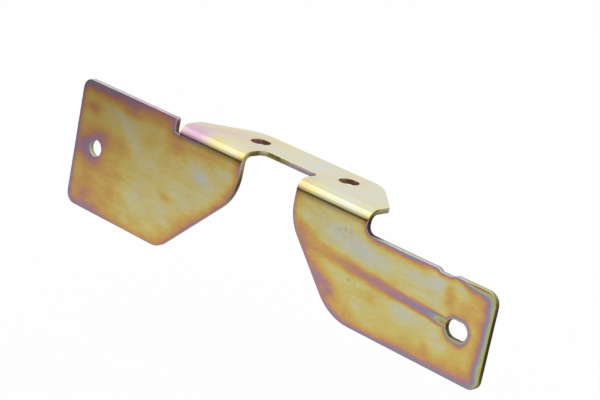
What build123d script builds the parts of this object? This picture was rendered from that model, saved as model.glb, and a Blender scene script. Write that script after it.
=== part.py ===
from build123d import *
from math import radians, tan
import os

# Stamped bracket: two wings folded down from one bridge, all one piece of sheet steel.
# Millimetres. X runs along the fold, Y from the wings' front face to the bridge's back edge, Z up.
# The finished part has its origin on the bridge's top face, halfway between its two holes.

# Sheet and fold
sheet_thickness = 2.5
inner_fold_radius = 2.8
punch_roll = 0.4              # rounding that the punch leaves round the front and top faces

# Bridge, the flange that is bolted down
bridge_length = 115.0         # along the fold
bridge_depth = 32.8           # front face of the wings to back edge
bridge_side = 12.9            # front face of the wings to the start of the tapered corner
bridge_taper_angle = 44.5     # between the tapered corner and the fold
bridge_taper_radius = 18.0    # tapered corner to back edge
bridge_tip_radius = 1.5       # side to tapered corner
bridge_hole_diameter = 9.0
bridge_hole_spacing = 54.0
bridge_hole_setback = 21.0    # front face of the wings to the holes' centres

# Window between the wings
window_width = 33.6
window_middle = -0.6          # from the middle of the bridge
window_depth = 13.4           # front face of the wings to the window's back edge
window_radius = 3.5

# Left wing
left_reach = 124.7            # middle of the bridge to the outer edge
left_rise = 1.5               # top edge above the bridge
left_drop = 60.7              # bottom edge below the bridge
left_toe = 59.5               # middle of the bridge to the corner of bottom and slant
left_slant_angle = 43.0       # between the slant and the fold
left_toe_radius = 10.0
left_flank_radius = 25.0      # slant to window
left_hole_inset = 14.5        # outer edge to the hole's centre
left_hole_drop = 29.7

# Right wing
right_reach = 127.9
right_top = 10.1              # top edge below the bridge
right_drop = 52.2
right_heel = 47.2             # middle of the bridge to the corner of slant and bottom
right_slant_angle = 47.0
right_heel_radius = 25.0
right_toe_radius = 4.8        # bottom edge to outer edge
right_flank_radius = 20.0     # window to slant
right_slot_inset = 15.7       # outer edge to the slot's middle
right_slot_drop = 31.3
right_slot_travel = 3.0       # slot length beyond its width

# Both wings
wing_hole_diameter = 8.0
wing_corner_radius = 5.5

# Reliefs at the ends of the fold
left_relief_width = 3.0
left_relief_radius = 1.3
left_shoulder_radius = 1.0    # top edge of the left wing into its relief
right_relief_radius = 3.5     # end of the fold into the right wing's top edge

# Gauging nick in the right wing's top edge
nick_setback = 21.0           # outer edge to the nick
nick_outer_ramp = 3.0
nick_floor = 5.0
nick_inner_ramp = 1.9
nick_depth = 1.2

# Two places closer than this count as one
near = 0.01

# Worked out from the sizes above
outer_fold_radius = inner_fold_radius + sheet_thickness
bridge_end = bridge_length / 2
window_left = window_middle - window_width / 2
window_right = window_middle + window_width / 2
bridge_taper_run = (bridge_depth - bridge_side) / tan(radians(bridge_taper_angle))


def at(x, y):
    """Picks the corner of an outline that stands at a given place."""
    return lambda corner: abs(corner.X - x) < near and abs(corner.Y - y) < near


def rounded_outline(corners):
    """A closed outline from (x, y, radius) corners, with a radius of 0 left sharp."""
    with BuildSketch() as outline:
        with BuildLine():
            Polyline(*[(x, y) for x, y, radius in corners], close=True)
        make_face()
        for x, y, radius in corners:
            if radius:
                fillet(outline.vertices().filter_by(at(x, y)), radius)
    return outline.sketch


def rolled(piece, skin):
    """Rounds the rims that the punch cut in a piece's skin, but not the edge where wing and fold meet."""
    def punched(edge):
        middle = edge.center()
        level = abs(middle.Y) < near and abs(middle.Z + outer_fold_radius) < near
        return not level or abs(middle.X) > bridge_end
    edges = [edge for face in skin for edge in face.edges()]
    rims = [edge for edge in edges if sum(edge.is_same(other) for other in edges) == 1]
    return fillet(filter(punched, rims), punch_roll)


def wing(outline):
    """Stands a wing's outline up and gives it the sheet's thickness, with its front face at Y 0."""
    plate = extrude(Plane.XZ * outline, -sheet_thickness)
    return rolled(plate, plate.faces().sort_by(Axis.Y)[:1])


def left_wing():
    slant = tan(radians(left_slant_angle))
    relief_side = bridge_end + left_relief_width
    flank_foot = -left_drop + (left_toe + window_left) * slant
    outline = rounded_outline([
        (-left_reach, left_rise, wing_corner_radius),
        (-left_reach, -left_drop, wing_corner_radius),
        (-left_toe, -left_drop, left_toe_radius),
        (window_left, flank_foot, left_flank_radius),
        (window_left, -outer_fold_radius, 0),
        (-relief_side, -outer_fold_radius, left_relief_radius),
        (-relief_side, left_rise, left_shoulder_radius),
    ])
    hole = Pos(left_hole_inset - left_reach, -left_hole_drop) * Circle(wing_hole_diameter / 2)
    # A tab stands in for the fold while the rims are rounded, so that the relief's rim stops at it
    tab_height = 2 * punch_roll
    tab_place = Pos((window_left - bridge_end) / 2, tab_height / 2 - outer_fold_radius)
    tab = tab_place * Rectangle(window_left + bridge_end, tab_height)
    return wing(outline + tab - hole) - extrude(Plane.XZ * tab, -sheet_thickness)


def right_wing():
    slant = tan(radians(right_slant_angle))
    flank_foot = -right_drop + (right_heel - window_right) * slant
    nick_end = right_reach - nick_setback
    nick_floor_end = nick_end - nick_outer_ramp
    nick_floor_start = nick_floor_end - nick_floor
    nick_start = nick_floor_start - nick_inner_ramp
    nick_bottom = -right_top - nick_depth
    outline = rounded_outline([
        (window_right, -outer_fold_radius, 0),
        (window_right, flank_foot, right_flank_radius),
        (right_heel, -right_drop, right_heel_radius),
        (right_reach, -right_drop, right_toe_radius),
        (right_reach, -right_top, wing_corner_radius),
        (nick_end, -right_top, 0),
        (nick_floor_end, nick_bottom, 0),
        (nick_floor_start, nick_bottom, 0),
        (nick_start, -right_top, 0),
        (bridge_end, -right_top, right_relief_radius),
        (bridge_end, -outer_fold_radius, 0),
    ])
    slot = SlotCenterToCenter(right_slot_travel, wing_hole_diameter)
    return wing(outline - Pos(right_reach - right_slot_inset, -right_slot_drop) * slot)


def fold_and_bridge():
    """The quarter-round fold and the flat bridge behind it, trimmed to the bridge's outline."""
    with BuildSketch(Plane.YZ) as section:
        with BuildLine():
            fold = JernArc((0, -outer_fold_radius), (0, 1), outer_fold_radius, -90)
            Line(fold @ 1, (bridge_depth, 0))
            offset(amount=sheet_thickness, side=Side.RIGHT)
        make_face()
    sheet = extrude(section.sketch, bridge_end, both=True)

    taper_end = bridge_end - bridge_taper_run
    outline = rounded_outline([
        (-bridge_end, 0, 0),
        (-bridge_end, bridge_side, bridge_tip_radius),
        (-taper_end, bridge_depth, bridge_taper_radius),
        (taper_end, bridge_depth, bridge_taper_radius),
        (bridge_end, bridge_side, bridge_tip_radius),
        (bridge_end, 0, 0),
        (window_right, 0, 0),
        (window_right, window_depth, window_radius),
        (window_left, window_depth, window_radius),
        (window_left, 0, 0),
    ])
    hole_places = GridLocations(bridge_hole_spacing, 0, 2, 1)
    holes = [Pos(0, bridge_hole_setback) * place * Circle(bridge_hole_diameter / 2) for place in hole_places]
    sheet &= extrude(outline - holes, -outer_fold_radius)
    top = sheet.faces().sort_by(Axis.Z)[-1:]
    bend = sheet.faces().filter_by(GeomType.CYLINDER).filter_by(lambda face: face.radius == outer_fold_radius)
    return rolled(sheet, top + bend)


bracket = left_wing() + right_wing() + fold_and_bridge()
bracket = Pos(0, -bridge_hole_setback) * bracket
bracket.label = "bracket"

os.makedirs("parts", exist_ok=True)
export_step(bracket, "parts/bracket.step")
print("bracket", len(bracket.solids()), "solid,", round(bracket.volume), "mm3,", bracket.bounding_box())
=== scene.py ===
import math

import bmesh
import bpy
import numpy as np
from mathutils import Matrix, Vector


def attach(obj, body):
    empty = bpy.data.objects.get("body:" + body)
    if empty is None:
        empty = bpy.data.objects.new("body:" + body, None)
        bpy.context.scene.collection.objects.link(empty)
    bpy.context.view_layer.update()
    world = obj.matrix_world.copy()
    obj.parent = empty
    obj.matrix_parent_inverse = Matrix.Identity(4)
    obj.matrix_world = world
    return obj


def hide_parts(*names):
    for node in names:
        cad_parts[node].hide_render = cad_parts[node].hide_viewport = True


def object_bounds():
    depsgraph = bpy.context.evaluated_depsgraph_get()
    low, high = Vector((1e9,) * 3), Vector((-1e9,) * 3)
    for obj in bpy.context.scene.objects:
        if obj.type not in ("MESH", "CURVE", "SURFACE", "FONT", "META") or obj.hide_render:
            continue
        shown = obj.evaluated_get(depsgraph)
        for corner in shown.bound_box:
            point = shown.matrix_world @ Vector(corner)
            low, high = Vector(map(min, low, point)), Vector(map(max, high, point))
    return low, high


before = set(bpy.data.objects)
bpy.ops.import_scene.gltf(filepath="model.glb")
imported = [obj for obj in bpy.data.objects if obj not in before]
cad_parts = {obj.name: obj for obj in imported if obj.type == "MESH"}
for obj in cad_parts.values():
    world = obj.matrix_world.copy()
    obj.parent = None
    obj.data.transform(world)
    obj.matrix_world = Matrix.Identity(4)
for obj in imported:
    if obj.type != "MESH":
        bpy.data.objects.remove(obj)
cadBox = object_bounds()
mm = 0.001
scene = bpy.context.scene


# ---- small helpers for node trees

def addNode(tree, kind, **values):
    node = tree.nodes.new(kind)
    for name, value in values.items():
        setattr(node, name, value)
    return node


def feed(tree, socket, value):
    if isinstance(value, bpy.types.NodeSocket):
        tree.links.new(value, socket)
    else:
        socket.default_value = value


def calc(tree, operation, *values, clamp=False):
    node = addNode(tree, "ShaderNodeMath", operation=operation, use_clamp=clamp)
    for socket, value in zip(node.inputs, values):
        feed(tree, socket, value)
    return node.outputs[0]


def rampNode(tree, factor, stops):
    node = addNode(tree, "ShaderNodeValToRGB")
    points = node.color_ramp.elements
    while len(points) < len(stops):
        points.new(1.0)
    for point, (place, colour) in zip(points, stops):
        point.position = place
        point.color = colour if len(colour) == 4 else linear(*colour)
    feed(tree, node.inputs["Fac"], factor)
    return node.outputs["Color"]


def noiseNode(tree, vector, scale, detail=3.0, rough=0.5, distort=0.0):
    node = addNode(tree, "ShaderNodeTexNoise")
    feed(tree, node.inputs["Vector"], vector)
    for name, value in (("Scale", scale), ("Detail", detail), ("Roughness", rough), ("Distortion", distort)):
        node.inputs[name].default_value = value
    return node.outputs["Fac"]


def linear(red, green, blue):
    def one(value):
        share = value / 255
        return share / 12.92 if share <= 0.04045 else ((share + 0.055) / 1.055) ** 2.4
    return (one(red), one(green), one(blue), 1.0)


# ---- the sheet: the frame's bracket, welded and divided into fine cells that can carry the film's pattern

sheet = {
    "front": cadBox[0].y,
    "thickness": 2.5 * mm,
    "foldRadius": 5.3 * mm,
    "foldEnd": 57.5 * mm,
    "cell": 1.0 * mm,
    "foldStep": 5,
    "weld": 0.002 * mm,
    "flat": 0.05,
    "near": 0.02 * mm,
    "facet": 0.08 * mm,
    "shearLayers": [1.0 * mm, 1.5 * mm, 2.0 * mm],
    "squareToSkin": 0.35,
    "largestHole": 12 * mm,
    "corner": 40,
    # the fold's last bit of bend and how far it reaches into the wings
    "easeAngle": 3.0,
    "easeLength": 2.7 * mm,
}
foldAxis = Vector((0, sheet["front"] + sheet["foldRadius"], -sheet["foldRadius"]))


def inFold(point):
    within = abs(point.x) < sheet["foldEnd"] + sheet["near"]
    return within and point.z > foldAxis.z and point.y < foldAxis.y


def throughSheet(point):
    # the direction out of the front skin, and the depth under that skin
    beside = abs(point.x) > sheet["foldEnd"] + sheet["near"]
    if beside or point.z <= foldAxis.z:
        return Vector((0, -1, 0)), point.y - sheet["front"]
    if point.y >= foldAxis.y:
        return Vector((0, 0, 1)), -point.z
    spoke = Vector((0, point.y - foldAxis.y, point.z - foldAxis.z))
    return spoke.normalized(), sheet["foldRadius"] - spoke.length


def sliceUp(mesh, faces, places, plane):
    # divides the faces at the middle place, then each side at its own places
    if not places or not faces:
        return
    middle = len(places) // 2
    point, normal = plane(places[middle])
    edges = {edge for face in faces for edge in face.edges}
    verts = {vert for face in faces for vert in face.verts}
    cut = bmesh.ops.bisect_plane(mesh, geom=[*verts, *edges, *faces], dist=1e-7, plane_co=point, plane_no=normal)
    faces = [item for item in cut["geom"] if isinstance(item, bmesh.types.BMFace)]
    above = [(face.calc_center_median() - point).dot(normal) > 0 for face in faces]
    sliceUp(mesh, [face for face, up in zip(faces, above) if not up], places[:middle], plane)
    sliceUp(mesh, [face for face, up in zip(faces, above) if up], places[middle + 1:], plane)


def slicedSheet():
    mesh = bmesh.new()
    mesh.from_mesh(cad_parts["bracket"].data)
    bmesh.ops.remove_doubles(mesh, verts=mesh.verts, dist=sheet["weld"])
    flat = math.radians(sheet["flat"])
    bmesh.ops.dissolve_limit(mesh, angle_limit=flat, verts=mesh.verts, edges=mesh.edges)
    low, high = cadBox
    alongX, alongY, alongZ = (Vector(axis) for axis in ((1, 0, 0), (0, 1, 0), (0, 0, 1)))

    def steps(start, end):
        return np.arange(start + sheet["cell"] / 2, end, sheet["cell"]).tolist()

    def chosen(test):
        return [face for face in mesh.faces if test(face.calc_center_median())]

    def inWings(centre):
        return centre.y < sheet["front"] + sheet["thickness"] + sheet["near"]

    def inBridge(centre):
        return centre.y > foldAxis.y - mm

    sliceUp(mesh, list(mesh.faces), steps(low.x, high.x), lambda x: (x * alongX, alongX))
    sliceUp(mesh, chosen(inWings), steps(low.z, high.z), lambda z: (z * alongZ, alongZ))
    sliceUp(mesh, chosen(inBridge), steps(foldAxis.y, high.y), lambda y: (y * alongY, alongY))
    easing = [foldAxis.z - part * sheet["easeLength"] for part in (0.2, 0.45, 0.7, 0.95)]
    sliceUp(mesh, chosen(inWings), sorted(easing), lambda z: (z * alongZ, alongZ))
    turns = [math.radians(angle) for angle in range(sheet["foldStep"], 90, sheet["foldStep"])]
    spokes = lambda turn: (foldAxis, Vector((0, math.sin(turn), -math.cos(turn))))
    sliceUp(mesh, chosen(inFold), turns, spokes)
    layers = sheet["shearLayers"]
    sliceUp(mesh, chosen(inWings), layers, lambda depth: ((sheet["front"] + depth) * alongY, alongY))
    sliceUp(mesh, chosen(inBridge), layers[::-1], lambda depth: (-depth * alongZ, alongZ))

    # the slices land on the fold's facets, so they are put back on its true radii
    for vert in mesh.verts:
        if inFold(vert.co):
            out, depth = throughSheet(vert.co)
            for skin in (0, sheet["thickness"]):
                if abs(depth - skin) < sheet["facet"]:
                    vert.co += out * (depth - skin)

    # the fold runs out into the wings instead of stopping short
    slope = math.tan(math.radians(sheet["easeAngle"]))
    arc = math.radians(90) * sheet["foldRadius"]
    eased = slope * sheet["easeLength"] / 2
    moves = []
    for vert in mesh.verts:
        out, depth = throughSheet(vert.co)
        under = foldAxis.z - vert.co.z
        if inFold(vert.co):
            u = math.atan2(out.z, -out.y) / math.radians(90)
            sink = eased * (2 * u ** 3 - 3 * u ** 2 + 1) + slope * arc * (u ** 3 - 2 * u ** 2 + u)
            moves.append((vert, out * sink))
        elif 0 <= under < sheet["easeLength"] and abs(vert.co.x) < sheet["foldEnd"] + sheet["near"]:
            sink = slope * (sheet["easeLength"] - under) ** 2 / (2 * sheet["easeLength"])
            moves.append((vert, out * sink))
    for vert, move in moves:
        vert.co -= move
    mesh.normal_update()
    return mesh


def punchedLoops(mesh):
    # the faces that the punch cut, as one group for each outline or hole
    left = set()
    for face in mesh.faces:
        out, depth = throughSheet(face.calc_center_median())
        if abs(face.normal.dot(out)) < sheet["squareToSkin"]:
            left.add(face)
    loops = []
    while left:
        loop, front = [], [left.pop()]
        while front:
            face = front.pop()
            loop.append(face)
            near = {other for side in face.edges for other in side.link_faces} & left
            left -= near
            front.extend(near)
        loops.append(loop)
    return loops


def isHole(loop):
    across = [vert.co.x for face in loop for vert in face.verts]
    return len(loop) > 1 and max(across) - min(across) < sheet["largestHole"]


def guideObject(name, places, edges, faces):
    mesh = bpy.data.meshes.new(name)
    mesh.from_pydata(places, edges, faces)
    guide = bpy.data.objects.new(name, mesh)
    scene.collection.objects.link(guide)
    return guide


def facesGuide(name, faces):
    rank = {vert: number for number, vert in enumerate({vert for face in faces for vert in face.verts})}
    return guideObject(name, [vert.co.copy() for vert in rank], [], [[rank[v] for v in f.verts] for f in faces])


# ---- the chromate film: how thick it dried, from 0 (thin, pale) to 1 (thick, second order)
# lengths in millimetres, places as (x, z) on the wings and (x, y) on the bridge

film = {
    "still": 0.15,
    "bridgeStill": 0.055,
    "backStill": 0.2,
    # how the film thickens towards the punched outline: middle, spread, peak, reach
    "edgePeak": 0.5,
    "edgeReach": 3.5,
    "edgeZones": [
        ((-112, 1.5), (14, 5), 0.58, 8.9),
        ((-90, 1.5), (12, 5), 0.4, 10.9),
        ((-70, 1.5), (8, 5), 0.34, 10.5),
        ((-59, -4), (4, 5), 0.5, 1.5),
        ((-124, -10), (5, 12), 0.44, 2.6),
        ((-124, -30), (5, 9), 0.40, 2.4),
        ((-124, -48), (5, 10), 0.42, 2.2),
        ((-112, -60), (14, 5), 0.33, 4.3),
        ((-80, -60), (20, 5), 0.24, 3.2),
        ((-52, -52), (10, 10), 0.32, 5.1),
        ((-36, -38), (12, 10), 0.33, 3.7),
        ((-22, -24), (6, 6), 0.35, 4.3),
        ((-17, -11), (4, 7), 0.35, 3.4),
        ((16, -12), (4, 8), 0.33, 2.3),
        ((23, -27), (7, 7), 0.26, 4.7),
        ((36, -41), (8, 7), 0.3, 4.4),
        ((52, -51), (10, 5), 0.48, 4.0),
        ((85, -52), (20, 5), 0.53, 3.9),
        ((112, -52), (10, 5), 0.56, 3.6),
        ((58, -9), (4, 5), 0.55, 1.6),
        ((80, -10), (14, 4), 0.62, 1.4),
        ((103, -11), (8, 4), 0.5, 1.1),
        ((118, -10), (7, 4), 0.98, 2.3),
        ((128, -32), (6, 18), 0.78, 5.7),
    ],
    "bridgePeak": 0.06,
    "bridgeReach": 1.4,
    # the same round the holes: left wing, right wing, bridge
    "holePeaks": (0.10, 0.74, 0.05),
    "holeReaches": (1.8, 1.7, 3.0),
    # clouds and stains: middle, half lengths, turn in degrees, amount
    "wingClouds": [
        ((-112, -28), (10, 8.5), 0, 0.37),
        ((-118, -30), (4.5, 5), 0, 0.21),
        ((-113, -36), (8, 4), -8, 0.16),
        ((-105, -23), (6, 5), 20, 0.14),
        ((-121, -14), (4, 9), 0, -0.05),
        ((-115, -10.8), (5.5, 3.2), 10, 0.26),
        ((-97, -9), (5, 2.2), -35, -0.03),
        ((-91, -13.5), (8, 3), -45, -0.10),
        ((-82, -21), (7, 3), -50, -0.08),
        ((-74, -28), (7, 3), -35, 0.03),
        ((-94, -23), (8, 7), -40, 0.14),
        ((-75, -14), (8, 4), 10, 0.07),
        ((-72, -6), (8, 2.5), 0, 0.05),
        ((-88, -6), (8, 2.5), 0, 0.14),
        ((-57, -12), (6, 4), -20, 0.17),
        ((-40, -9), (14, 3), 0, 0.18),
        ((-44, -17), (6, 4), -20, -0.07),
        ((-39, -21), (5.5, 2.8), -20, -0.18),
        ((-22, -14), (5, 6), 0, -0.03),
        ((-50, -33), (10, 5), 20, -0.06),
        ((-60, -36), (5, 2.5), 0, 0.12),
        ((-41, -32), (7, 4), 40, -0.06),
        ((-45, -23), (5, 3), 0, -0.04),
        ((-68, -29), (7, 4), -30, -0.04),
        ((-78, -43), (7, 6), 0, -0.03),
        ((-60, -43), (10, 3), 25, -0.04),
        ((-94, -40), (8, 9), 0, 0.13),
        ((-112, -45), (10, 8), 0, 0.18),
        ((-115, -54), (11, 6), 0, 0.19),
        ((-100, -53), (8, 5), 0, 0.11),
        ((-84, -53), (9, 4), 0, 0.03),
        ((-72, -55), (9, 3), 0, 0.02),
        ((-32, -30), (5, 3), -45, -0.05),
        ((22, -9), (5, 3), 0, 0.04),
        ((20, -15), (3.5, 5), 0, 0.02),
        ((44, -14), (10, 4), 0, -0.13),
        ((60, -19), (14, 4.5), -4, -0.15),
        ((85, -17), (10, 3), 0, -0.12),
        ((97, -15), (6, 3.5), 0, -0.15),
        ((97, -21), (7, 3), 0, -0.04),
        ((105.5, -20), (3, 6), 10, 0.19),
        ((111, -14.5), (4.5, 2.2), -20, -0.19),
        ((116, -20), (4, 6), 0, 0.15),
        ((120.5, -24), (2.5, 9), 0, 0.08),
        ((32, -28), (9, 2.5), -25, 0.08),
        ((24, -23), (5, 4), -30, 0.03),
        ((39, -37), (7, 4.0), -35, 0.19),
        ((45, -40), (5, 3.5), -40, 0.22),
        ((46, -31.5), (10, 2.5), -8, -0.03),
        ((66, -36), (9, 3.5), 0, 0.11),
        ((84, -35), (9, 3), -4, -0.14),
        ((101, -38), (6, 3), -10, -0.03),
        ((60, -41), (6, 3), 20, -0.07),
        ((55, -44), (7, 4), -15, 0.12),
        ((83, -44), (22, 3), 0, 0.05),
        ((105, -43), (4, 4), 0, -0.02),
        ((113, -41), (5, 5), 0, 0.03),
        ((118, -47), (5, 3.5), 0, 0.12),
        ((75, -49), (8, 2), 0, 0.05),
        ((99, -44), (3, 4), 0, 0.08),
        ((70, -15), (6, 3), 0, -0.09),
        ((104, -14), (4, 3), 0, -0.05),
        ((60, -35), (5, 3), 0, -0.04),
        ((-88, -56), (9, 3), 0, 0.03),
    ],
    "bridgeClouds": [
        ((-56, -13), (4, 6), 0, 0.04),
        ((-44, -8), (7, 4), 25, 0.14),
        ((-35, -19), (5, 5), 0, 0.10),
        ((-38, -1), (7, 5), 0, 0.07),
        ((-29, -11), (6, 5), 30, 0.08),
        ((-22, 9), (9, 2.5), 0, 0.05),
        ((1, 6), (5, 3), 0, 0.05),
        ((20, 7), (5, 4), 30, 0.06),
        ((16, 0), (3, 5), 0, 0.05),
        ((40, 1), (4, 5), 0, 0.05),
        ((42, -19), (15, 4), 0, -0.04),
        ((-27, 0), (9, 8), 0, 0.04),
        ((27, 0), (9, 8), 0, 0.03),
        ((-18, -16), (5, 7), 0, 0.08),
        ((20, -17), (6, 7), 0, 0.12),
        ((-14, 0), (6, 4), 0, -0.04),
        ((8, -1), (8, 5), 0, -0.05),
        ((47, -6), (9, 8), 0, -0.05),
        ((33, -11), (9, 3), 0, -0.04),
    ],
    # the same on the side away from the front: middle, half lengths, turn in degrees, amount
    "backClouds": [
        ((-104, -20), (12, 7), 30, 0.16),
        ((-88, -44), (16, 8), -12, -0.10),
        ((-66, -18), (10, 6), 15, 0.10),
        ((-48, -32), (11, 7), -30, -0.08),
        ((-112, -46), (7, 9), 0, 0.18),
        ((-33, -14), (9, 5), 0, -0.06),
        ((28, -16), (9, 6), 0, 0.12),
        ((52, -24), (14, 6), -8, -0.10),
        ((66, -42), (13, 5), 0, 0.14),
        ((88, -22), (13, 5), 4, 0.05),
        ((98, -38), (9, 7), 0, -0.08),
        ((117, -38), (6, 10), 0, 0.16),
    ],
    # pink blush on the bridge: middle, half lengths, amount
    "blushes": [
        ((-50, -19), (9, 8), 1.2),
        ((-40, -5), (10, 6), 0.35),
        ((-27, 0), (7.5, 6.5), 0.45),
        ((27, 0), (7.5, 6.5), 0.35),
        ((19, -14), (3, 6), 0.4),
        ((-20, -12), (3, 6), 0.25),
    ],
    # film on the cut faces, with painted light and shade in it: usual thickness, then middle, radius, amount; the
    # left relief and the window's left side are led to colours brightened as painted light, the slot, the right
    # relief and the right end to dark olive and near black as painted shade
    "cutStill": 0.62,
    "cutCloudsAndPaintedLight": [
        ((-17.4, -13, -1), 5, 0.18),
        ((-10, -7.6, -1), 8, 0.22),
        ((-60.5, -20, -3), 4, -0.22),
        ((128, -20, -20), 14, 0.27),
        ((128, -20, -42), 14, 0.27),
        ((-27, 0, -1), 12, -0.19),
        ((27, 0, -1), 12, -0.19),
        ((-110, -20, -30), 6, 0.22),
        ((111, -20, -31), 14, 0.34),
        ((60, -20, -8), 6, 0.42),
        ((85, -20, -10), 16, 0.08),
        ((57.5, -16, -2), 5, 0.20),
        ((-17.5, -20, -14), 10, 0.26),
        ((-24, -20, -30), 12, 0.10),
    ],
    "streakRoute": [(19, -20.5), (27, -22.8), (38, -24.8), (50, -26.5), (60, -27.6), (72, -28.3),
                    (84, -28.9), (95, -29.7), (103, -30.1), (108.5, -30.8)],
    # along x: thickness added at its middle, and half width
    "streakPeak": [(17, 0.0), (22, 0.25), (35, 0.21), (50, 0.28), (62, 0.34), (78, 0.37), (90, 0.44), (97, 0.51), (101, 0.63), (104, 0.76), (107, 0.8), (108.5, 0.8)],
    "streakWidth": [(19, 6.9), (35, 3.4), (50, 3.3), (65, 3.2), (85, 2.4), (100, 2.8), (107, 2.4)],
    # dark specks: middle, spread
    "speckPlaces": [((47, -13), (3.5, 1.8)), ((31, -11), (3, 1.2)), ((53.5, -31.5), (1.6, 1.0)),
                    ((-83, -38.5), (1.0, 1.0)), ((-115.5, -10.5), (4.5, 2.0))],
}


def blobs(u, v, middle, spread, turn=0.0):
    angle = math.radians(turn)
    across, up = u - middle[0], v - middle[1]
    along = (across * math.cos(angle) + up * math.sin(angle)) / spread[0]
    beside = (up * math.cos(angle) - across * math.sin(angle)) / spread[1]
    return np.exp(-(along ** 2 + beside ** 2))


def addFilm(mesh):
    # writes what the film's material needs to know about each point of the sheet
    count = len(mesh.vertices)
    place = np.empty(count * 3)
    mesh.vertices.foreach_get("co", place)
    x, y, z = place.reshape(-1, 3).T / mm
    depth = np.array([throughSheet(vert.co)[1] for vert in mesh.vertices]) / mm
    onWing = 1 / (1 + np.exp((z + 4 - 8 * (np.abs(x) > sheet["foldEnd"] / mm)) * 1.5))
    frontSkin = np.clip((1.6 - depth) / 0.8, 0, 1)

    base = film["still"] * onWing + film["bridgeStill"] * (1 - onWing)
    for middle, spread, turn, amount in film["wingClouds"]:
        base += onWing * frontSkin * amount * blobs(x, z, middle, spread, turn)
    for middle, spread, turn, amount in film["bridgeClouds"]:
        base += (1 - onWing) * frontSkin * amount * blobs(x, y, middle, spread, turn)
    for middle, spread, turn, amount in film["backClouds"]:
        base += onWing * (1 - frontSkin) * amount * blobs(x, z, middle, spread, turn)
    base += (1 - frontSkin) * (film["backStill"] - film["still"])

    share = np.full(count, 0.25)
    peak = share * (film["edgePeak"] * onWing + film["bridgePeak"] * (1 - onWing))
    reach = share * (film["edgeReach"] * onWing + film["bridgeReach"] * (1 - onWing))
    for middle, spread, zonePeak, zoneReach in film["edgeZones"]:
        weight = onWing * blobs(x, z, middle, spread)
        share, peak, reach = share + weight, peak + weight * zonePeak, reach + weight * zoneReach
    part = np.where(onWing < 0.5, 2, np.where(x < 0, 0, 1))

    upper = 1 / (1 + np.exp((-6.3 - z) * 2.5))
    blush = sum(upper * amount * blobs(x, y, middle, spread) for middle, spread, amount in film["blushes"])
    # film thickness of the cut faces, which also carries painted light and shade where the table above puts it
    cutFilmAndPaintedLight = np.full(count, film["cutStill"])
    for middle, radius, amount in film["cutCloudsAndPaintedLight"]:
        cutFilmAndPaintedLight += amount * np.exp(-np.sum((place.reshape(-1, 3) / mm - middle) ** 2, axis=1) / radius ** 2)

    specks = np.zeros(count)
    for middle, spread in film["speckPlaces"]:
        specks += onWing * frontSkin * blobs(x, z, middle, spread)

    values = {
        "filmBase": base, "edgePeak": peak / share, "edgeReach": reach / share, "specks": specks, "depth": depth,
        "blush": np.clip(blush * (np.abs(x) < sheet["foldEnd"] / mm), 0, 1), "cutFilmAndPaintedLight": cutFilmAndPaintedLight,
        "holePeak": np.array(film["holePeaks"])[part], "holeReach": np.array(film["holeReaches"])[part],
        "streakPeak": onWing * frontSkin * np.interp(x, *zip(*film["streakPeak"]), right=0.0),
        "streakWidth": np.interp(x, *zip(*film["streakWidth"])),
    }
    for name, value in values.items():
        mesh.attributes.new(name, "FLOAT", "POINT").data.foreach_set("value", value.astype(np.float32))


# ---- Geometry Nodes: distances to the rims and the streak, waviness of the sheet, torn layer of the cut faces

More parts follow.
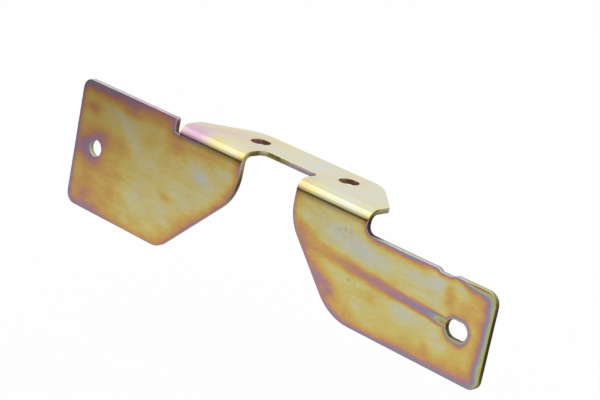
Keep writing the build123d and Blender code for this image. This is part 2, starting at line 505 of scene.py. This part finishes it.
def surfaceTree():
    tree = bpy.data.node_groups.new("sheetSurface", "GeometryNodeTree")
    sockets = tree.interface
    sockets.new_socket("Geometry", in_out="INPUT", socket_type="NodeSocketGeometry")
    for name in ("Outline", "Holes", "Streak"):
        sockets.new_socket(name, in_out="INPUT", socket_type="NodeSocketObject")
    for name in ("Wave height", "Wave scale", "Tear depth", "Tear scale", "Burnished"):
        sockets.new_socket(name, in_out="INPUT", socket_type="NodeSocketFloat")
    for name in ("Skin", "Cut"):
        sockets.new_socket(name, in_out="INPUT", socket_type="NodeSocketMaterial")
    sockets.new_socket("Geometry", in_out="OUTPUT", socket_type="NodeSocketGeometry")
    given = addNode(tree, "NodeGroupInput").outputs
    shape = given["Geometry"]
    place = addNode(tree, "GeometryNodeInputPosition").outputs[0]

    for name, target, attribute in (("Outline", "FACES", "rimDistance"), ("Holes", "FACES", "holeDistance"),
                                    ("Streak", "EDGES", "streakDistance")):
        guide = addNode(tree, "GeometryNodeObjectInfo")
        feed(tree, guide.inputs["Object"], given[name])
        nearest = addNode(tree, "GeometryNodeProximity", target_element=target)
        feed(tree, nearest.inputs[0], guide.outputs["Geometry"])
        inMillimetres = calc(tree, "DIVIDE", nearest.outputs["Distance"], mm)
        store = addNode(tree, "GeometryNodeStoreNamedAttribute", data_type="FLOAT", domain="POINT")
        store.inputs["Name"].default_value = attribute
        feed(tree, store.inputs["Geometry"], shape)
        feed(tree, store.inputs["Value"], inMillimetres)
        shape = store.outputs[0]

    # broad waves, as of a sheet that was rolled and pressed
    noise = addNode(tree, "ShaderNodeTexNoise")
    feed(tree, noise.inputs["Vector"], place)
    feed(tree, noise.inputs["Scale"], given["Wave scale"])
    noise.inputs["Detail"].default_value = 1.0
    lift = calc(tree, "MULTIPLY", calc(tree, "SUBTRACT", noise.outputs["Fac"], 0.5), given["Wave height"])
    bend = addNode(tree, "ShaderNodeCombineXYZ")
    feed(tree, bend.inputs["Y"], lift)
    feed(tree, bend.inputs["Z"], lift)

    # the torn layer under the burnished one is set back, unevenly
    depth = addNode(tree, "GeometryNodeInputNamedAttribute", data_type="FLOAT")
    depth.inputs["Name"].default_value = "depth"
    punched = addNode(tree, "GeometryNodeInputNamedAttribute", data_type="FLOAT")
    punched.inputs["Name"].default_value = "punched"
    tear = addNode(tree, "ShaderNodeTexNoise")
    feed(tree, tear.inputs["Vector"], place)
    feed(tree, tear.inputs["Scale"], given["Tear scale"])
    torn = calc(tree, "GREATER_THAN", depth.outputs[0], given["Burnished"])
    backwards = calc(tree, "MULTIPLY", calc(tree, "MULTIPLY", tear.outputs["Fac"], given["Tear depth"]), torn)
    backwards = calc(tree, "MULTIPLY", calc(tree, "MULTIPLY", backwards, punched.outputs[0]), -1.0)
    normal = addNode(tree, "GeometryNodeInputNormal").outputs[0]
    inwards = addNode(tree, "ShaderNodeVectorMath", operation="SCALE")
    feed(tree, inwards.inputs[0], normal)
    feed(tree, inwards.inputs["Scale"], backwards)
    both = addNode(tree, "ShaderNodeVectorMath", operation="ADD")
    feed(tree, both.inputs[0], bend.outputs[0])
    feed(tree, both.inputs[1], inwards.outputs[0])
    move = addNode(tree, "GeometryNodeSetPosition")
    feed(tree, move.inputs["Geometry"], shape)
    feed(tree, move.inputs["Offset"], both.outputs[0])
    whole = addNode(tree, "GeometryNodeRealizeInstances")
    feed(tree, whole.inputs[0], move.outputs[0])

    cutFace = addNode(tree, "GeometryNodeInputNamedAttribute", data_type="BOOLEAN")
    cutFace.inputs["Name"].default_value = "cutFace"
    skinned = addNode(tree, "GeometryNodeSetMaterial")
    feed(tree, skinned.inputs["Geometry"], whole.outputs[0])
    feed(tree, skinned.inputs["Material"], given["Skin"])
    finished = addNode(tree, "GeometryNodeSetMaterial")
    feed(tree, finished.inputs["Geometry"], skinned.outputs[0])
    feed(tree, finished.inputs["Selection"], cutFace.outputs[0])
    feed(tree, finished.inputs["Material"], given["Cut"])
    feed(tree, addNode(tree, "NodeGroupOutput").inputs["Geometry"], finished.outputs[0])
    return tree


surface = {
    "Wave height": 0.10 * mm,
    "Wave scale": 22.0,
    "Tear depth": 0.10 * mm,
    "Tear scale": 1400.0,
    "Burnished": 1.0,
}


def finishedSheet(skinMaterial, cutMaterial):
    mesh = slicedSheet()
    loops = punchedLoops(mesh)
    holes = facesGuide("holeGuide", [face for loop in loops if isHole(loop) for face in loop])
    outline = facesGuide("outlineGuide", [face for loop in loops if not isHole(loop) for face in loop])
    route = [(x * mm, sheet["front"], z * mm) for x, z in film["streakRoute"]]
    streak = guideObject("streakGuide", route, [(i, i + 1) for i in range(len(route) - 1)], [])
    for face in mesh.faces:
        face.smooth = True
    corner = math.radians(sheet["corner"])
    for edge in mesh.edges:
        edge.smooth = edge.calc_face_angle(0) < corner
    plain = bpy.data.meshes.new("platedSheet")
    mesh.to_mesh(plain)
    cutFaces = {face.index for loop in loops for face in loop}
    cutVerts = {vert.index for loop in loops for face in loop for vert in face.verts}
    mesh.free()
    cut = [index in cutFaces for index in range(len(plain.polygons))]
    plain.attributes.new("cutFace", "BOOLEAN", "FACE").data.foreach_set("value", cut)
    addFilm(plain)
    deep = np.empty(len(plain.vertices), np.float32)
    plain.attributes["depth"].data.foreach_get("value", deep)
    punched = np.array([index in cutVerts for index in range(len(plain.vertices))]) & (deep < 2.45)
    plain.attributes.new("punched", "FLOAT", "POINT").data.foreach_set("value", punched.astype(np.float32))
    print("sheet divided:", len(plain.vertices), "points,", len(loops), "punched loops")

    blank = bpy.data.objects.new("blank", plain)
    scene.collection.objects.link(blank)
    nodes = blank.modifiers.new("surface", "NODES")
    nodes.node_group = surfaceTree()
    sockets = {item.name: item.identifier for item in nodes.node_group.interface.items_tree if item.in_out == "INPUT"}
    for name, value in {**surface, "Outline": outline, "Holes": holes, "Streak": streak,
                        "Skin": skinMaterial, "Cut": cutMaterial}.items():
        nodes[sockets[name]] = value
    weighted = blank.modifiers.new("flats", "WEIGHTED_NORMAL")
    weighted.keep_sharp = True
    weighted.weight = 60
    made = bpy.data.meshes.new_from_object(blank.evaluated_get(bpy.context.evaluated_depsgraph_get()))
    made.name = "platedBracket"
    for guide in (blank, outline, holes, streak):
        bpy.data.objects.remove(guide)
    piece = bpy.data.objects.new("platedBracket", made)
    scene.collection.objects.link(piece)
    return piece


# ---- materials

coat = {
    "colours": [
        (0.00, (184, 189, 185)), (0.06, (190, 189, 163)), (0.12, (196, 189, 143)), (0.18, (198, 186, 117)),
        (0.24, (199, 178, 98)), (0.30, (197, 166, 88)), (0.36, (195, 154, 86)), (0.42, (188, 142, 95)),
        (0.47, (177, 131, 114)), (0.52, (168, 123, 135)), (0.58, (151, 126, 148)), (0.64, (140, 132, 148)),
        (0.70, (143, 149, 146)), (0.76, (160, 168, 135)), (0.82, (172, 174, 105)), (0.88, (172, 160, 82)),
        (0.94, (165, 124, 94)), (1.00, (120, 110, 55)),
    ],
    # colours of the cut faces' film; the stops at 0.38 and 0.78 are brightened as painted light for the left relief
    # and the window's left side, and the darkest stops are painted shade for the slot and the right end
    "cutColoursAndPaintedLight": [
        (0.38, (236, 180, 105)), (0.45, (126, 88, 66)), (0.54, (170, 150, 154)), (0.62, (204, 193, 201)),
        (0.70, (178, 178, 180)), (0.78, (184, 186, 130)), (0.84, (136, 134, 94)), (0.90, (104, 98, 52)), (0.97, (44, 38, 24)),
    ],
    "blush": (186, 152, 169),
    "roughness": 0.21,
    "gloss": 0.3,
    "glossRoughness": 0.12,
}


def attributeNode(tree, name):
    return addNode(tree, "ShaderNodeAttribute", attribute_name=name).outputs["Fac"]


def newMaterial(name):
    material = bpy.data.materials.new(name)
    material.use_nodes = True
    return material, material.node_tree, material.node_tree.nodes["Principled BSDF"]


def falloff(tree, distance, reach, power):
    ratio = calc(tree, "DIVIDE", distance, reach)
    return calc(tree, "EXPONENT", calc(tree, "MULTIPLY", calc(tree, "POWER", ratio, power), -1.0))


def filmMaterial():
    material, tree, shader = newMaterial("yellowChromate")
    place = addNode(tree, "ShaderNodeTexCoord").outputs["Object"]
    drawn = addNode(tree, "ShaderNodeMapping")
    feed(tree, drawn.inputs["Vector"], place)
    drawn.inputs["Rotation"].default_value = (0, math.radians(-38), 0)
    drawn.inputs["Scale"].default_value = (0.35, 1, 1)

    clouds = calc(tree, "SUBTRACT", noiseNode(tree, place, 55, 3, 0.55, 0.8), 0.5)
    drains = calc(tree, "SUBTRACT", noiseNode(tree, drawn.outputs[0], 260, 3, 0.6, 0.6), 0.5)
    grain = calc(tree, "SUBTRACT", noiseNode(tree, place, 900, 2, 0.6), 0.5)
    unrest = calc(tree, "MULTIPLY", clouds, 0.20)
    unrest = calc(tree, "MULTIPLY_ADD", drains, 0.19, unrest)
    unrest = calc(tree, "MULTIPLY_ADD", grain, 0.08, unrest)

    wander = calc(tree, "MULTIPLY_ADD", clouds, 0.9, 1.0)
    shares = []
    for rim, power in (("edge", 1.3), ("hole", 1.3), ("streak", 3.0)):
        distance = attributeNode(tree, "rimDistance" if rim == "edge" else rim + "Distance")
        reach = attributeNode(tree, "streakWidth" if rim == "streak" else rim + "Reach")
        near = falloff(tree, distance, calc(tree, "MULTIPLY", reach, wander), power)
        shares.append(calc(tree, "MULTIPLY", near, attributeNode(tree, rim + "Peak")))
    thickest = calc(tree, "SMOOTH_MAX", calc(tree, "SMOOTH_MAX", *shares[:2], 0.1), shares[2], 0.1)
    thick = calc(tree, "ADD", calc(tree, "ADD", attributeNode(tree, "filmBase"), unrest), thickest, clamp=True)
    blushing = addNode(tree, "ShaderNodeMix", data_type="RGBA")
    feed(tree, blushing.inputs["Factor"], attributeNode(tree, "blush"))
    feed(tree, blushing.inputs[6], rampNode(tree, thick, coat["colours"]))
    blushing.inputs[7].default_value = linear(*coat["blush"])

    spots = calc(tree, "GREATER_THAN", noiseNode(tree, place, 700, 2, 0.7), 0.57)
    spots = calc(tree, "MULTIPLY", spots, attributeNode(tree, "specks"), clamp=True)
    stained = addNode(tree, "ShaderNodeMix", data_type="RGBA", blend_type="MULTIPLY")
    feed(tree, stained.inputs["Factor"], calc(tree, "MULTIPLY", spots, 0.7))
    feed(tree, stained.inputs[6], blushing.outputs[2])
    stained.inputs[7].default_value = (0.5, 0.42, 0.35, 1)
    feed(tree, shader.inputs["Base Color"], stained.outputs[2])

    shader.inputs["Metallic"].default_value = 1.0
    rough = calc(tree, "MULTIPLY_ADD", attributeNode(tree, "blush"), 0.04, coat["roughness"])
    rough = calc(tree, "MULTIPLY_ADD", grain, 0.10, rough)
    feed(tree, shader.inputs["Roughness"], calc(tree, "MULTIPLY_ADD", drains, 0.12, rough))
    shader.inputs["Coat Weight"].default_value = coat["gloss"]
    shader.inputs["Coat Roughness"].default_value = coat["glossRoughness"]
    bump = addNode(tree, "ShaderNodeBump")
    bump.inputs["Strength"].default_value = 0.25
    bump.inputs["Distance"].default_value = 0.02 * mm
    feed(tree, bump.inputs["Height"], noiseNode(tree, place, 1600, 3, 0.6))
    feed(tree, shader.inputs["Normal"], bump.outputs[0])
    return material


def cutMaterial():
    material, tree, shader = newMaterial("punchedEdge")
    place = addNode(tree, "ShaderNodeTexCoord").outputs["Object"]
    torn = calc(tree, "GREATER_THAN", attributeNode(tree, "depth"), surface["Burnished"])
    grit = noiseNode(tree, place, 1500, 3, 0.7)
    patches = calc(tree, "SUBTRACT", noiseNode(tree, place, 160, 3, 0.6), 0.5)
    # the cut faces' film thickness, partly painted light and shade
    thick = calc(tree, "MULTIPLY_ADD", patches, 0.3, attributeNode(tree, "cutFilmAndPaintedLight"))
    thick = calc(tree, "MULTIPLY_ADD", calc(tree, "SUBTRACT", grit, 0.5), 0.2, thick, clamp=True)
    # colour from the cut faces' ramp, painted light and shade included
    colour = rampNode(tree, thick, coat["cutColoursAndPaintedLight"])
    dark = addNode(tree, "ShaderNodeMix", data_type="RGBA", blend_type="MULTIPLY")
    feed(tree, dark.inputs["Factor"], calc(tree, "MULTIPLY", torn, 0.6))
    feed(tree, dark.inputs[6], colour)
    dark.inputs[7].default_value = (0.55, 0.5, 0.45, 1)
    feed(tree, shader.inputs["Base Color"], dark.outputs[2])
    shader.inputs["Metallic"].default_value = 1.0
    feed(tree, shader.inputs["Roughness"], calc(tree, "MULTIPLY_ADD", torn, 0.25, 0.3))
    shader.inputs["Coat Weight"].default_value = coat["gloss"]
    shader.inputs["Coat Roughness"].default_value = 0.25
    bump = addNode(tree, "ShaderNodeBump")
    bump.inputs["Strength"].default_value = 0.6
    bump.inputs["Distance"].default_value = 0.05 * mm
    feed(tree, bump.inputs["Height"], grit)
    feed(tree, shader.inputs["Normal"], bump.outputs[0])
    return material


bracket = finishedSheet(filmMaterial(), cutMaterial())
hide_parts("bracket")
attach(bracket, "root")
print("bracket finished:", len(bracket.data.polygons), "faces")


# ---- studio: a pale table, one broad lamp, and what the metal sees round it

studio = {
    "floorDrop": 60 * mm,
    "floorSize": 6.0,
    "white": (1.0, 1.0, 1.0, 1.0),
    "lampPlace": (-0.62, -0.50, 0.62),
    "lampSize": 0.7,
    "lampPower": 0.65,
    # brightness that the metal sees, by the height of the direction
    "allRound": [(-1.0, 0.5), (-0.80, 0.6), (-0.60, 0.75), (-0.45, 1.0), (-0.30, 1.1), (-0.15, 1.0), (-0.02, 0.72), (0.10, 0.78), (0.28, 1.15), (0.55, 1.35),
                 (0.75, 1.45), (1.0, 1.3)],
    "frontLeft": [(-1.0, 0.5), (-0.82, 0.55), (-0.62, 0.7), (-0.45, 0.96), (-0.35, 1.09), (-0.305, 1.15), (-0.25, 0.62), (-0.21, 0.18), (-0.05, 0.04), (0.02, 0.20),
                  (0.17, 1.0), (0.5, 1.2), (1.0, 1.25)],
    "backRight": [(-1.0, 0.6), (-0.45, 0.62), (0.05, 0.6), (0.35, 0.8), (0.6, 1.1), (1.0, 1.1)],
    # tint of the darkest places
    "shade": (1.0, 0.60, 0.46),
    "frontLeftWay": (-0.6225, -0.7826, 0.0),
    "frontLeftTilt": -0.32,
    "backRightWay": (0.52, 0.79, -0.33),
}


def grey(value):
    return (value, value, value, 1.0)


def addFloor():
    half = studio["floorSize"] / 2
    down = cadBox[0].z - studio["floorDrop"]
    corners = [(x, y, down) for x, y in ((-half, -half), (half, -half), (half, half), (-half, half))]
    floor = guideObject("paleTable", corners, [], [(0, 1, 2, 3)])
    material, tree, shader = newMaterial("paleTable")
    shader.inputs["Base Color"].default_value = (0.85, 0.85, 0.85, 1)
    shader.inputs["Roughness"].default_value = 0.9
    bright = addNode(tree, "ShaderNodeEmission")
    seen = addNode(tree, "ShaderNodeLightPath")
    blend = addNode(tree, "ShaderNodeMixShader")
    feed(tree, blend.inputs[0], calc(tree, "MULTIPLY", seen.outputs["Is Camera Ray"], 0.93))
    tree.links.new(shader.outputs[0], blend.inputs[1])
    tree.links.new(bright.outputs[0], blend.inputs[2])
    tree.links.new(blend.outputs[0], tree.nodes["Material Output"].inputs[0])
    floor.data.materials.append(material)
    floor.visible_glossy = False


def addSurroundings():
    world = bpy.data.worlds.new("studio")
    scene.world = world
    world.use_nodes = True
    tree = world.node_tree
    direction = addNode(tree, "ShaderNodeTexCoord").outputs["Generated"]
    parts = addNode(tree, "ShaderNodeSeparateXYZ")
    feed(tree, parts.inputs[0], direction)
    brightest = 2.0

    def shaded(value):
        share = min(value * brightest, 1.0)
        return tuple(value * (tint + (1 - tint) * share) for tint in studio["shade"]) + (1.0,)

    def byHeight(name, height):
        stops = [((place + 1) / 2, shaded(value / brightest)) for place, value in studio[name]]
        return rampNode(tree, calc(tree, "MULTIPLY_ADD", height, 0.5, 0.5), stops)

    def towards(way, start, end):
        facing = addNode(tree, "ShaderNodeVectorMath", operation="DOT_PRODUCT")
        feed(tree, facing.inputs[0], direction)
        facing.inputs[1].default_value = way
        share = addNode(tree, "ShaderNodeMapRange", interpolation_type="SMOOTHSTEP")
        feed(tree, share.inputs["Value"], facing.outputs["Value"])
        share.inputs["From Min"].default_value = start
        share.inputs["From Max"].default_value = end
        return share.outputs[0]

    def over(share, below, above):
        layer = addNode(tree, "ShaderNodeMix", data_type="RGBA")
        feed(tree, layer.inputs["Factor"], share)
        feed(tree, layer.inputs[6], below)
        feed(tree, layer.inputs[7], above)
        return layer.outputs[2]

    level = parts.outputs["Z"]
    tilted = calc(tree, "MULTIPLY_ADD", parts.outputs["X"], studio["frontLeftTilt"], level)
    tilted = calc(tree, "ADD", tilted, 0.615 * studio["frontLeftTilt"])
    bright = over(towards(studio["frontLeftWay"], 0.84, 0.93), byHeight("allRound", level), byHeight("frontLeft", tilted))
    bright = over(towards(studio["backRightWay"], 0.94, 0.98), bright, byHeight("backRight", level))
    seenByMetal = addNode(tree, "ShaderNodeBackground")
    feed(tree, seenByMetal.inputs["Color"], bright)
    seenByMetal.inputs["Strength"].default_value = brightest
    white = addNode(tree, "ShaderNodeBackground")
    white.inputs["Color"].default_value = studio["white"]
    seen = addNode(tree, "ShaderNodeLightPath")
    blend = addNode(tree, "ShaderNodeMixShader")
    feed(tree, blend.inputs[0], seen.outputs["Is Glossy Ray"])
    tree.links.new(white.outputs[0], blend.inputs[1])
    tree.links.new(seenByMetal.outputs[0], blend.inputs[2])
    tree.links.new(blend.outputs[0], tree.nodes["World Output"].inputs[0])


def addLamp():
    lamp = bpy.data.lights.new("softLamp", "AREA")
    lamp.shape = "DISK"
    lamp.size = studio["lampSize"]
    lamp.energy = studio["lampPower"]
    holder = bpy.data.objects.new("softLamp", lamp)
    holder.location = studio["lampPlace"]
    holder.rotation_euler = (-Vector(studio["lampPlace"])).to_track_quat("-Z", "Y").to_euler()
    scene.collection.objects.link(holder)


view = {
    "place": (0.50181, -0.59882, 0.22463),
    "turn": (72.431, -10.823, 43.254),
    "lens": 111.1,
}


def addCamera():
    camera = bpy.data.cameras.new("camera")
    camera.lens = view["lens"]
    camera.sensor_width = 36
    camera.clip_start = 0.01
    holder = bpy.data.objects.new("camera", camera)
    holder.location = view["place"]
    holder.rotation_euler = [math.radians(angle) for angle in view["turn"]]
    scene.collection.objects.link(holder)
    scene.camera = holder


addFloor()
addSurroundings()
addLamp()
addCamera()
scene.view_settings.view_transform = "Standard"
print("studio ready")
